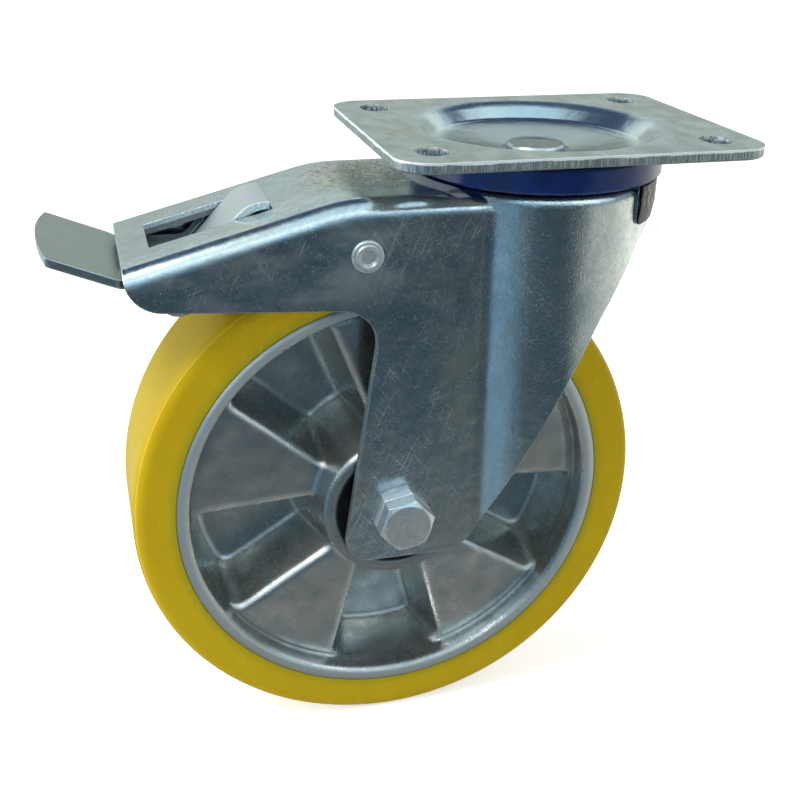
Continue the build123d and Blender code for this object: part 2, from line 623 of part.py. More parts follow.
def lock_blade():
    """Spring blade under the bridge, with an upturned nose that enters a notch of the locking ring."""
    blade_top = CROSS_Z[0]
    strip = Pos(-46.0, 0, blade_top - BLADE_SHEET / 2) * Box(22, 22, BLADE_SHEET)
    strip = fillet(strip.edges().filter_by(Axis.Z), 3.0)
    neck = Pos(-36.0, 0, blade_top - BLADE_SHEET / 2) * Box(10, 10, BLADE_SHEET)
    nose = Pos(-33.0, 0, (blade_top + NOSE_TIP_Z) / 2) * Box(4, 4, NOSE_TIP_Z - blade_top)
    nose = chamfer(nose.edges().filter_by(Axis.X).sort_by(Axis.Z)[-2:], 0.6)
    blade = strip + neck + nose
    for y in (-8, 8):
        blade -= Pos(SPRING_X, y, 0) * Cylinder(1.5, 200)
    return blade


def blade_rivets():
    """Two rivets that hold the blade under the bridge."""
    low = CROSS_Z[0] - BLADE_SHEET
    rivets = []
    for y in (-8, 8):
        shank = Pos(SPRING_X, y, (low + CROSS_Z[1]) / 2) * Cylinder(1.5, CROSS_Z[1] - low)
        heads = Pos(SPRING_X, y, CROSS_Z[1] + 0.5) * Cylinder(2.8, 1.0)
        heads += Pos(SPRING_X, y, low - 0.4) * Cylinder(2.8, 0.8)
        rivets.append(shank + heads)
    return rivets


def pedal():
    """One bent strip: tail, valley with two ears for the pin, shoulders and the tongue in the window."""
    path = FilletPolyline((-183.5, -30.0), (-153.8, -42.1), (-129.9, -42.2), (-110.8, -20.9), (-103.2, -20.8),
                          radius=[7, 5, TONGUE_BEND_R])
    strip = extrude(Plane.XZ * make_face(offset(path, amount=PEDAL_SHEET, side=Side.RIGHT)), 40, both=True)
    tail = Pos(-168.0, 0) * Rectangle(29, 2 * PEDAL_HALF)
    tail = fillet(tail.vertices(), PEDAL_CORNER_R)
    tail &= Pos(PEDAL_END_X + PEDAL_END_R, 0) * Circle(PEDAL_END_R)
    web = Pos((SHOULDER_X - 160) / 2, 0) * Rectangle(SHOULDER_X + 160, 2 * PEDAL_WEB_HALF)
    for side in (-1, 1):
        middle = ((SHOULDER_ROOT_X + SHOULDER_X) / 2, side * (SHOULDER_INNER + TONGUE_HALF) / 2)
        web -= Pos(*middle) * Rectangle(SHOULDER_X - SHOULDER_ROOT_X, SHOULDER_INNER - TONGUE_HALF)
    tongue = Pos((SHOULDER_X - 95) / 2, 0) * Rectangle(-95 - SHOULDER_X, 2 * TONGUE_HALF)
    plan = tail + web + tongue
    roots = [corner for corner in plan.vertices() if abs(corner.X - SHOULDER_ROOT_X) < 0.01]
    strip &= extrude(fillet(roots, SHOULDER_ROOT_R), -80)
    pin_x, pin_z = PEDAL_PIN
    ear = make_face(Polyline((pin_x - 9, -43.5), (pin_x + 8.5, -43.5), (pin_x + 4.2, pin_z - 2.7),
                             (pin_x, pin_z - 5), (pin_x - 4.2, pin_z - 2.7), close=True))
    ear = ear + Pos(pin_x, pin_z) * Circle(5) - Pos(pin_x, pin_z) * Circle(PEDAL_PIN_R + RUNNING_FIT)
    return strip + side_plate(ear, PEDAL_WEB_HALF - PEDAL_SHEET, PEDAL_SHEET)


def pedal_pins():
    """Two headed stubs on which the pedal tilts in the arm."""
    flange = PEDAL_WEB_HALF - PEDAL_SHEET
    outer = ARM_INNER + ARM_SHEET
    steps = [(4.6, flange - 1.3, flange - RUNNING_FIT), (PEDAL_PIN_R, flange - 1, outer + 0.2),
             (4.8, outer, outer + 0.55)]
    return stub_rivet(PEDAL_PIN, steps)


def return_spring():
    """Compression spring between the hood and the bridge of the arm."""
    height = HOOD_UNDERSIDE - CROSS_Z[1] - 2 * SPRING_WIRE_R
    coil = Helix(pitch=height / SPRING_TURNS, height=height, radius=SPRING_R)
    wire = Plane(origin=coil @ 0, z_dir=coil % 0) * Circle(SPRING_WIRE_R)
    return Pos(SPRING_X, 0, CROSS_Z[1] + SPRING_WIRE_R) * sweep(wire, path=coil)


NODES = {
    "top_plate": top_plate,
    "king_pin": king_pin,
    "locking_ring": locking_ring,
    "seal_ring": seal_ring,
    "upper_balls": lambda: ball_ring(UPPER_PITCH_R, UPPER_BALL_Z, BALL_R, UPPER_BALL_COUNT),
    "lower_balls": lambda: ball_ring(LOWER_PITCH_R, LOWER_BALL_Z, BALL_R, LOWER_BALL_COUNT),
    "fork": fork,
    "front_lug": front_lug,
    "pivot_rivets": pivot_rivets,
    "pivot_washers": pivot_washers,
    "axle_bolt": axle_bolt,
    "axle_collar": axle_collar,
    "axle_washer": axle_washer,
    "axle_nut": axle_nut,
    "axle_tube": axle_tube,
    "bearing_inner_rings": lambda: at_both_bearings(bearing_ring(TUBE_R, BEARING_INNER_LAND_R)),
    "bearing_outer_rings": lambda: at_both_bearings(bearing_ring(BEARING_OUTER_LAND_R, BEARING_R)),
    "bearing_balls": bearing_balls,
    "bearing_seals": bearing_seals,
    "wheel_centre": wheel_centre,
    "tread": tread,
    "brake_arm": brake_arm,
    "brake_pad": brake_pad,
    "pad_rivets": pad_rivets,
    "lock_blade": lock_blade,
    "blade_rivets": blade_rivets,
    "pedal": pedal,
    "pedal_pins": pedal_pins,
    "return_spring": return_spring,
}

os.makedirs("parts", exist_ok=True)
for name, make in NODES.items():
    shape = make()
    if isinstance(shape, list):
        shape = Compound(children=shape)
    shape.label = name
    export_step(shape, f"parts/{name}.step")
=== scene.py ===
"""Finishes, studio and camera for a swivel castor with a total-stop brake.

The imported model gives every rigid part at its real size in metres: the origin is where the swivel axis meets
the top face of the plate, +Z is up and the wheel trails towards -X. This script adds no shapes to them: it
dresses each part in a procedural finish, lays a floor under the wheel, and sets the light and the camera.
"""

from __future__ import annotations

import logging
import math
from dataclasses import dataclass, field
from enum import Enum

import bmesh
import bpy
from mathutils import Matrix, Vector


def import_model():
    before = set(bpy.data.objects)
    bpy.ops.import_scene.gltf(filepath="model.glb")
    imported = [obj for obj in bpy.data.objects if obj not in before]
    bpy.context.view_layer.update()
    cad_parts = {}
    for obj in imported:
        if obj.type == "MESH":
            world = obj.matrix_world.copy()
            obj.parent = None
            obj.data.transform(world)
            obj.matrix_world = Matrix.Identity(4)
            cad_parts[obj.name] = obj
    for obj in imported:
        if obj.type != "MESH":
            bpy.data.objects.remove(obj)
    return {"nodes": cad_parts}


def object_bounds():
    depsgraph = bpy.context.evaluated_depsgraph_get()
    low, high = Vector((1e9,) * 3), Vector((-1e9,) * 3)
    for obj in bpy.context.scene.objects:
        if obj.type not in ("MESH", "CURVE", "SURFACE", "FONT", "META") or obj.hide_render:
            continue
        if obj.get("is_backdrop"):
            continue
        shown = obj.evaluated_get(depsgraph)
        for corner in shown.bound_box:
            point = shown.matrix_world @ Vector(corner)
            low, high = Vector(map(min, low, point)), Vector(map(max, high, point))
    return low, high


LOG = logging.getLogger("castor")
MM = 0.001

Socket = bpy.types.NodeSocket
Point = tuple[float, float, float]
Axes = tuple[int, int, int]
# Where a mask is 0 and where it is 1, in metres unless it says otherwise.
Span = tuple[float, float]
# Position and linear colour of each stop of a ramp.
Stops = tuple[tuple[float, Point], ...]

SWIVEL_AXIS: Point = (0.0, 0.0, 0.0)
AXLE: Point = (-0.059, 0.0, -0.140)
ROUND_Z: Axes = (1, 1, 0)
ROUND_Y: Axes = (1, 0, 1)
ROUND_POINT: Axes = (1, 1, 1)

# A real scratch is under 0.1 mm wide: it is drawn as coarse as it needs to be to show.
SCRATCH_MM = 0.22
# Less than the width, so that a patch of noise is longer than the scratch, which is only the peak of it.
SCRATCH_STRETCH_MM = 0.12
# A turning tool's rings are usually under 0.2 mm apart: they are drawn as coarse as they need to be to show.
TURNING_PITCH_MM = 0.35
# Grinding leaves far finer streaks: they are drawn as coarse as they need to be to show.
GRINDING_MM = 0.3
BEVEL_SAMPLES = 6


class Hue(Enum):
    """Surface colours as sRGB hex values."""

    ZINC = "#c3c9ca"
    ZINC_GREY = "#a7afb1"
    ZINC_BLUE = "#9fb2c0"
    ZINC_STRAW = "#c2bda9"
    ZINC_BROWN = "#8d8069"
    ZINC_PALE = "#e2e6e5"
    ZINC_DUN = "#9d9e92"
    HEAT_BROWN = "#3b332f"
    CUT_STEEL = "#dfe9ea"
    SHEAR_MARK = "#7f8889"
    CAST_ALUMINIUM = "#cccdca"
    CAST_SHADE = "#9a9d9b"
    CAST_SMOKE = "#a39d96"
    HUB_GREY = "#8e9393"
    TURNED_ALUMINIUM = "#c9cccb"
    BURNT_OIL = "#5d564c"
    BEARING_STEEL = "#a9abae"
    BEARING_SHADE = "#7d7f82"
    TREAD_YELLOW = "#b69e10"
    TREAD_DEEP = "#b0950e"
    TREAD_GREEN = "#96901c"
    TREAD_SCUFF = "#d8bb3c"
    TREAD_DIRT = "#4f4a1a"
    SEAL_BLUE = "#0e2b66"
    SEAL_DEEP = "#0a2152"
    SOOT = "#171818"
    SOOT_GREY = "#2b2c2c"
    # Dark grey of the brake arm: painted shade inside the hood.
    INSIDE_SHADE_GREY = "#4a4b4b"
    SPRING_GREY = "#6a6d70"
    SPRING_SHADE = "#4c4f52"
    FLOOR = "#f4f4f2"


def linear(hue: Hue) -> tuple[float, float, float, float]:
    """Turn an sRGB hex colour into linear RGBA.

    Args:
        hue: The colour to turn.

    Returns:
        Red, green, blue and an alpha of 1, in linear light.
    """
    text = hue.value.lstrip("#")
    channels = [int(text[at:at + 2], 16) / 255 for at in (0, 2, 4)]
    red, green, blue = [c / 12.92 if c <= 0.04045 else ((c + 0.055) / 1.055) ** 2.4 for c in channels]
    return (red, green, blue, 1.0)


def per_mm(size_mm: float) -> float:
    """Scale of a pattern on Object coordinates whose features are size_mm across.

    Args:
        size_mm: Width of one feature in millimetres.

    Returns:
        The scale for a texture that reads metres.
    """
    return 1 / (size_mm * MM)


def add_node(tree: bpy.types.NodeTree, kind: str, links: dict[str | int, Socket] | None = None,
             **settings: object) -> bpy.types.Node:
    """Add a shader node, set its values and link its inputs.

    Args:
        tree: The node tree that gets the node.
        kind: The node's type, such as ShaderNodeTexNoise.
        links: Input name or index to the socket that feeds it.
        **settings: Attributes of the node; a name that starts with in_ sets the input of that name or number,
            with underscores for spaces.

    Returns:
        The new node.
    """
    node = tree.nodes.new(kind)
    for key, value in settings.items():
        if not key.startswith("in_"):
            setattr(node, key, value)
    for key, value in settings.items():
        if key.startswith("in_"):
            name = key[3:]
            socket = node.inputs[int(name)] if name.isdigit() else node.inputs[name.replace("_", " ")]
            socket.default_value = value
    for name, source in (links or {}).items():
        tree.links.new(source, node.inputs[name])
    return node


class Surface:
    """A Principled surface built up in layers, with every pattern on Object coordinates."""

    def __init__(self, name: str, hue: Hue, roughness: float, metallic: float = 1.0,
                 edge_mm: float = 0.0) -> None:
        """Start with a bare surface.

        Args:
            name: The material's name.
            hue: Colour below all layers.
            roughness: Roughness below all layers.
            metallic: 1 for bare or plated metal, else 0.
            edge_mm: Radius to which sharp edges are broken.
        """
        self.material = bpy.data.materials.new(name)
        self.material.use_nodes = True
        self.tree = self.material.node_tree
        self.tree.nodes.clear()
        self.shader = add_node(self.tree, "ShaderNodeBsdfPrincipled", in_Metallic=metallic,
                               in_Roughness=roughness, in_Base_Color=linear(hue))
        add_node(self.tree, "ShaderNodeOutputMaterial", {"Surface": self.shader.outputs["BSDF"]})
        place = add_node(self.tree, "ShaderNodeTexCoord")
        self.at = place.outputs["Object"]
        spot = add_node(self.tree, "ShaderNodeSeparateXYZ", {"Vector": self.at})
        self.x, self.y, self.z = spot.outputs
        facing = add_node(self.tree, "ShaderNodeSeparateXYZ", {"Vector": place.outputs["Normal"]})
        self.face_x, self.face_y, self.face_z = facing.outputs
        self._hue = hue
        self._roughness = roughness
        self._colour_socket = None
        self._rough_socket = None
        self._metallic = metallic
        self._metal_socket = None
        self._height_socket = None
        self._edge_mm = edge_mm

    def band(self, value: Socket, start: float, end: float, within: Socket | None = None) -> Socket:
        """Mask that rises smoothly from 0 at start to 1 at end.

        Args:
            value: What is measured, such as a coordinate in metres or a part of the normal.
            start: Value at which the mask is 0.
            end: Value at which the mask is 1; it may be below start.
            within: A mask that this one is limited to.

        Returns:
            The mask.
        """
        mask = add_node(self.tree, "ShaderNodeMapRange", {"Value": value}, interpolation_type="SMOOTHSTEP",
                        in_From_Min=min(start, end), in_From_Max=max(start, end),
                        in_To_Min=0.0 if start < end else 1.0, in_To_Max=1.0 if start < end else 0.0)
        return self.limited(mask.outputs["Result"], within)

    def limited(self, mask: Socket, within: Socket | None) -> Socket:
        """Keep a mask only where another one is.

        Args:
            mask: The mask.
            within: The other mask, or None to leave the first one as it is.

        Returns:
            The product of the two.
        """
        if within is None:
            return mask
        return add_node(self.tree, "ShaderNodeMath", {0: mask, 1: within}, operation="MULTIPLY").outputs[0]

    def clouds(self, size_mm: float, low: float, high: float, stretch: Point = (1.0, 1.0, 1.0),
               turn: Point = (0.0, 0.0, 0.0), detail: float = 3.0, shift: float = 0.0,
               within: Socket | None = None) -> Socket:
        """Mask of soft patches, or of streaks where one direction is stretched.

        Args:
            size_mm: Width of a patch.
            low: Noise level at which a patch starts to show.
            high: Noise level at which it is full.
            stretch: How much longer a patch is along each axis.
            turn: Angles in degrees that lay the stretched patches another way.
            detail: How ragged the patches are.
            shift: Moves the pattern, so that two layers differ.
            within: A mask that the patches are limited to.

        Returns:
            The mask.
        """
        lay = add_node(self.tree, "ShaderNodeMapping", {"Vector": self.at}, vector_type="TEXTURE",
                       in_Location=(shift * 0.1, shift * 0.07, -shift * 0.1),
                       in_Rotation=[math.radians(angle) for angle in turn],
                       in_Scale=[size_mm * longer * MM for longer in stretch])
        noise = add_node(self.tree, "ShaderNodeTexNoise", {"Vector": lay.outputs["Vector"]}, in_Scale=1.0,
                         in_Detail=detail, in_Roughness=0.6)
        return self.band(noise.outputs["Fac"], low, high, within)

    def specks(self, spacing_mm: float, size: float, within: Socket | None = None) -> Socket:
        """Mask of scattered small dots.

        Args:
            spacing_mm: Mean distance between dots.
            size: Radius of a dot as a share of the spacing.
            within: A mask that the dots are limited to.

        Returns:
            The mask.
        """
        cells = add_node(self.tree, "ShaderNodeTexVoronoi", {"Vector": self.at}, in_Scale=per_mm(spacing_mm),
                         in_Randomness=1.0)
        return self.band(cells.outputs["Distance"], size, size * 0.4, within)

    def scratches(self, length_mm: float, turn: Point = (0.0, 0.0, 0.0), rare: float = 0.66,
                  shift: float = 0.0, within: Socket | None = None) -> Socket:
        """Mask of thin straight scratches.

        Args:
            length_mm: About how long a scratch is.
            turn: Angles in degrees of their direction, which is along Z without a turn.
            rare: Noise level above which a scratch shows; higher is rarer.
            shift: Moves the pattern, so that two layers differ.
            within: A mask that they are limited to.

        Returns:
            The mask.
        """
        return self.clouds(SCRATCH_MM, rare, rare + 0.06, stretch=(1.0, 1.0, length_mm / SCRATCH_STRETCH_MM),
                           turn=turn, detail=0.0, shift=shift, within=within)

    def radius(self, centre: Point, across: Axes) -> Socket:
        """Distance in metres from an axis, or from a point.

        Args:
            centre: The point, or one on the axis, in metres.
            across: 1 for each coordinate that the distance is measured in, 0 for the axis's own.

        Returns:
            The distance.
        """
        lay = add_node(self.tree, "ShaderNodeMapping", {"Vector": self.at}, vector_type="POINT",
                       in_Location=[-part * keep for part, keep in zip(centre, across)],
                       in_Scale=[float(keep) for keep in across])
        return add_node(self.tree, "ShaderNodeVectorMath", {0: lay.outputs["Vector"]},
                        operation="LENGTH").outputs["Value"]

    def turning_lines(self, distance: Socket, pitch_mm: float, within: Socket | None = None) -> Socket:
        """Mask of the fine rings that a turning tool leaves.

        Args:
            distance: Distance from the axis in metres.
            pitch_mm: Distance between rings.
            within: A mask that they are limited to.

        Returns:
            The mask.
        """
        wave = add_node(self.tree, "ShaderNodeMath", {0: distance}, operation="MULTIPLY",
                        in_1=2 * math.pi * per_mm(pitch_mm))
        sine = add_node(self.tree, "ShaderNodeMath", {0: wave.outputs[0]}, operation="SINE")
        return self.band(sine.outputs[0], -1.0, 1.0, within)

    def lay(self, mask: Socket, hue: Hue | None = None, roughness: float | None = None, share: float = 1.0,
            rise_mm: float = 0.0, metallic: float | None = None) -> None:
        """Put a layer on the surface where a mask says.

        Args:
            mask: Where the layer is.
            hue: Its colour, or None to keep the colour below.
            roughness: Its roughness, or None to keep the roughness below.
            share: How far it covers what is below, from 0 to 1.
            rise_mm: How far it stands proud; negative for a dent.
            metallic: How metallic it is, or None to keep what is below; dust, oxide and oil are under 1.
        """
        cover = mask
        if share < 1.0:
            cover = add_node(self.tree, "ShaderNodeMath", {0: mask}, operation="MULTIPLY",
                             in_1=share).outputs[0]
        if hue is not None:
            mix = add_node(self.tree, "ShaderNodeMix", {0: cover}, data_type="RGBA", in_6=linear(self._hue),
                           in_7=linear(hue))
            if self._colour_socket is not None:
                self.tree.links.new(self._colour_socket, mix.inputs[6])
            self._colour_socket = mix.outputs[2]
        if roughness is not None:
            mix = add_node(self.tree, "ShaderNodeMix", {0: cover}, data_type="FLOAT", in_2=self._roughness,
                           in_3=roughness)
            if self._rough_socket is not None:
                self.tree.links.new(self._rough_socket, mix.inputs[2])
            self._rough_socket = mix.outputs[0]
        if metallic is not None:
            mix = add_node(self.tree, "ShaderNodeMix", {0: cover}, data_type="FLOAT", in_2=self._metallic,
                           in_3=metallic)
            if self._metal_socket is not None:
                self.tree.links.new(self._metal_socket, mix.inputs[2])
            self._metal_socket = mix.outputs[0]
        if rise_mm != 0.0:
            rise = add_node(self.tree, "ShaderNodeMath", {0: mask}, operation="MULTIPLY_ADD", in_1=rise_mm,
                            in_2=0.0)
            if self._height_socket is not None:
                self.tree.links.new(self._height_socket, rise.inputs[2])
            self._height_socket = rise.outputs[0]

    def done(self) -> bpy.types.Material:
        """Join the layers to the shader.

        Returns:
            The material.
        """
        if self._colour_socket is not None:
            self.tree.links.new(self._colour_socket, self.shader.inputs["Base Color"])
        if self._rough_socket is not None:
            self.tree.links.new(self._rough_socket, self.shader.inputs["Roughness"])
        if self._metal_socket is not None:
            self.tree.links.new(self._metal_socket, self.shader.inputs["Metallic"])
        normal = None
        if self._edge_mm > 0.0:
            broken = add_node(self.tree, "ShaderNodeBevel", samples=BEVEL_SAMPLES,
                              in_Radius=self._edge_mm * MM)
            normal = broken.outputs["Normal"]
        if self._height_socket is not None:
            links = {"Height": self._height_socket}
            if normal is not None:
                links["Normal"] = normal
            bump = add_node(self.tree, "ShaderNodeBump", links, in_Strength=1.0, in_Distance=MM)
            normal = bump.outputs["Normal"]
        if normal is not None:
            self.tree.links.new(normal, self.shader.inputs["Normal"])
        return self.material


@dataclass(frozen=True)
class ZincPlate:
    """Bright zinc electroplate on steel, passivated pale blue: a soft mirror, mottled, specked and rubbed."""

    name: str
    patch_mm: float = 9.0
    smooth: float = 0.16
    dull: float = 0.30
    wear: float = 1.0
    edge_mm: float = 0.5
    # Length in millimetres, direction in degrees, rarity and shift of each set.
    scratch_sets: tuple[tuple[float, Point, float, float], ...] = (
        (9.0, (0.0, 24.0, 0.0), 0.71, 0.0), (6.0, (0.0, -38.0, 0.0), 0.72, 4.4),
        (12.0, (0.0, 71.0, 0.0), 0.73, 2.9), (4.0, (58.0, 0.0, 33.0), 0.72, 8.2))

    def surface(self) -> Surface:
        """Build the plated surface before anything that belongs to one part only.

        Returns:
            The surface.
        """
        skin = Surface(self.name, Hue.ZINC, self.smooth, edge_mm=self.edge_mm)
        skin.lay(skin.clouds(self.patch_mm * 2.6, 0.42, 0.62, shift=3.1), Hue.ZINC_BLUE, share=0.5)
        skin.lay(skin.clouds(self.patch_mm, 0.38, 0.66, detail=5.0), Hue.ZINC_GREY, self.dull, share=0.6)
        skin.lay(skin.clouds(self.patch_mm * 4, 0.50, 0.68, shift=9.4), Hue.ZINC_STRAW, share=0.4)
        skin.lay(skin.clouds(self.patch_mm * 0.25, 0.44, 0.64, shift=5.2, detail=5.0), Hue.ZINC_GREY,
                 self.dull, share=0.5)
        skin.lay(skin.clouds(1.4, 0.54, 0.72, shift=4.1, detail=6.0), Hue.ZINC_PALE, self.dull,
                 share=0.30 * self.wear, metallic=0.84)
        rubbed = skin.clouds(self.patch_mm * 2.2, 0.42, 0.62, shift=7.7)
        skin.lay(skin.specks(1.5, 0.13, within=rubbed), Hue.ZINC_PALE, self.dull + 0.12,
                 share=0.7 * self.wear, metallic=0.4)
        handled = skin.clouds(self.patch_mm * 3.1, 0.48, 0.62, shift=3.6)
        for length, turn, rare, shift in self.scratch_sets:
            skin.lay(skin.scratches(length, turn=turn, rare=rare, shift=shift, within=handled), Hue.ZINC_PALE,
                     self.dull + 0.1, share=0.3 * self.wear, metallic=0.4)
        skin.lay(skin.clouds(1.2, 0.3, 0.7, detail=4.0, shift=2.2), rise_mm=0.012)
        skin.lay(skin.clouds(7.0, 0.2, 0.8, detail=1.0, shift=6.1), rise_mm=0.06)
        return skin

    def build(self) -> bpy.types.Material:
        """Return the plain plated finish."""
        return self.surface().done()


@dataclass(frozen=True)
class ForkPlate(ZincPlate):
    """The same plating on the drawn fork, where each zone of the pressing has its own shine.

    It is grained where it was drawn round the head and dull along the sides of the hood. The sheared edges are
    bright and rough, and straw and brown patches behind the swivel ring are a painted reflection of the plate.
    """

    # Centre and reach of the painted reflection of the plate on the hood, behind the swivel ring.
    plate_reflection_at: Point = (-0.066, 0.006, -0.018)
    plate_reflection_reach: Span = (0.032, 0.014)
    leg_back: Span = (-0.054, -0.036)
    leg_front: Span = (-0.014, -0.022)
    leg_top: Span = (-0.045, -0.075)
    drawn_x: Span = (-0.0345, -0.0300)
    drawn_z: Span = (-0.0950, -0.0650)
    outer_face: Span = (0.0325, 0.0338)
    hood_x: Span = (-0.0380, -0.0700)
    hood_z: Span = (-0.0600, -0.0500)
    low_leg_x: Span = (-0.0400, -0.0280)
    low_leg_z: Span = (-0.0560, -0.0700)
    crest_inside: Span = (0.0462, 0.0472)
    crest_outside: Span = (0.0516, 0.0500)
    low_edges: Span = (-0.0565, -0.0575)
    hood_end: Span = (-0.1551, -0.1554)
    window_wall: Span = (0.0145, 0.01425)
    window_slope: float = 0.264
    window_shade_height: Span = (0.0021, 0.0014)

    def build(self) -> bpy.types.Material:
        """Build the fork's finish.

        Returns:
            The material.
        """
        skin = self.surface()
        off_centre = add_node(skin.tree, "ShaderNodeMath", {0: skin.y}, operation="ABSOLUTE").outputs[0]
        self._painted_plate_reflection(skin)
        self._legs_and_hood(skin, off_centre)
        self._edges(skin, off_centre)
        return skin.done()

    def _painted_plate_reflection(self, skin: Surface) -> None:
        """Lay a painted reflection of the plate on the hood: straw patches, with brown spots in them.

        Args:
            skin: The fork's surface.
        """
        plate_reflection_zone = skin.band(skin.radius(self.plate_reflection_at, ROUND_POINT), *self.plate_reflection_reach)
        skin.lay(skin.clouds(6.0, 0.40, 0.56, shift=1.3, within=plate_reflection_zone), Hue.ZINC_STRAW, 0.45, share=0.7)
        skin.lay(skin.clouds(1.6, 0.50, 0.60, shift=8.3, detail=5.0, within=plate_reflection_zone), Hue.ZINC_BROWN, 0.5,
                 share=0.8)

    def _legs_and_hood(self, skin: Surface, off_centre: Socket) -> None:
        """Lay what sets the legs, the drawn head and the sides of the hood apart.

        Args:
            skin: The fork's surface.
            off_centre: Distance from the fork's middle plane in metres.
        """
        leg = skin.band(skin.x, *self.leg_back, within=skin.band(skin.x, *self.leg_front))
        on_leg = skin.band(skin.z, *self.leg_top, within=leg)
        skin.lay(skin.clouds(7.0, 0.30, 0.62, stretch=(1.0, 1.0, 5.0), detail=5.0, shift=4.9, within=on_leg),
                 Hue.ZINC_DUN, 0.40, share=0.55)
        drawn = skin.band(skin.x, *self.drawn_x, within=skin.band(skin.z, *self.drawn_z))
        skin.lay(skin.clouds(0.8, 0.3, 0.7, detail=3.0, shift=6.7, within=drawn), rise_mm=0.03)
        side = skin.band(off_centre, *self.outer_face)
        hood = skin.band(skin.x, *self.hood_x, within=skin.band(skin.z, *self.hood_z, within=side))
        skin.lay(skin.clouds(16.0, 0.30, 0.75, stretch=(2.0, 1.0, 0.8), detail=4.0, shift=7.3, within=hood),
                 Hue.ZINC_GREY, 0.5, share=0.75)
        low_leg = skin.band(skin.z, *self.low_leg_z, within=skin.band(skin.x, *self.low_leg_x, within=side))
        skin.lay(low_leg, Hue.ZINC, 0.12, share=0.35)

    def _edges(self, skin: Surface, off_centre: Socket) -> None:
        """Lay a painted highlight on the crest of the head, the sheared edges, and painted shade low in the
        window.

        Args:
            skin: The fork's surface.
            off_centre: Distance from the fork's middle plane in metres.
        """
        head_r = skin.radius(SWIVEL_AXIS, ROUND_Z)
        # Pale, half-metallic steel on the up-facing crest round the head: a painted highlight where the raised
        # step catches the light.
        crest = skin.band(head_r, *self.crest_inside, within=skin.band(head_r, *self.crest_outside))
        skin.lay(skin.band(skin.face_z, 0.80, 0.92, within=crest), Hue.CUT_STEEL, 0.4, share=0.9,
                 metallic=0.5)
        flat = add_node(skin.tree, "ShaderNodeMath", {0: skin.face_y}, operation="ABSOLUTE").outputs[0]
        turned_away = skin.band(flat, 0.75, 0.55)
        low = skin.band(skin.z, *self.low_edges, within=turned_away)
        downward = skin.band(skin.face_z, -0.18, -0.32, within=turned_away)
        hood_end = skin.band(skin.x, *self.hood_end)
        upright = skin.band(skin.face_z, 0.5, 0.3, within=skin.band(skin.face_z, -0.5, -0.3))
        in_window = skin.band(off_centre, *self.window_wall, within=upright)
        for edge in (low, downward, hood_end, in_window):
            skin.lay(edge, Hue.CUT_STEEL, 0.4, share=0.9)
            skin.lay(skin.clouds(0.8, 0.35, 0.65, stretch=(1.0, 5.0, 1.0), shift=2.9, within=edge),
                     Hue.SHEAR_MARK, 0.6, share=0.5, rise_mm=-0.06)
        # The walls of the window are painted dark below a line along its slope: painted shade inside the hood.
        above_slope = add_node(skin.tree, "ShaderNodeMath", {0: skin.x, 2: skin.z}, operation="MULTIPLY_ADD",
                               in_1=-self.window_slope).outputs[0]
        window_shade = skin.band(above_slope, *self.window_shade_height, within=in_window)
        skin.lay(window_shade, Hue.SOOT_GREY, 0.55, share=0.7)


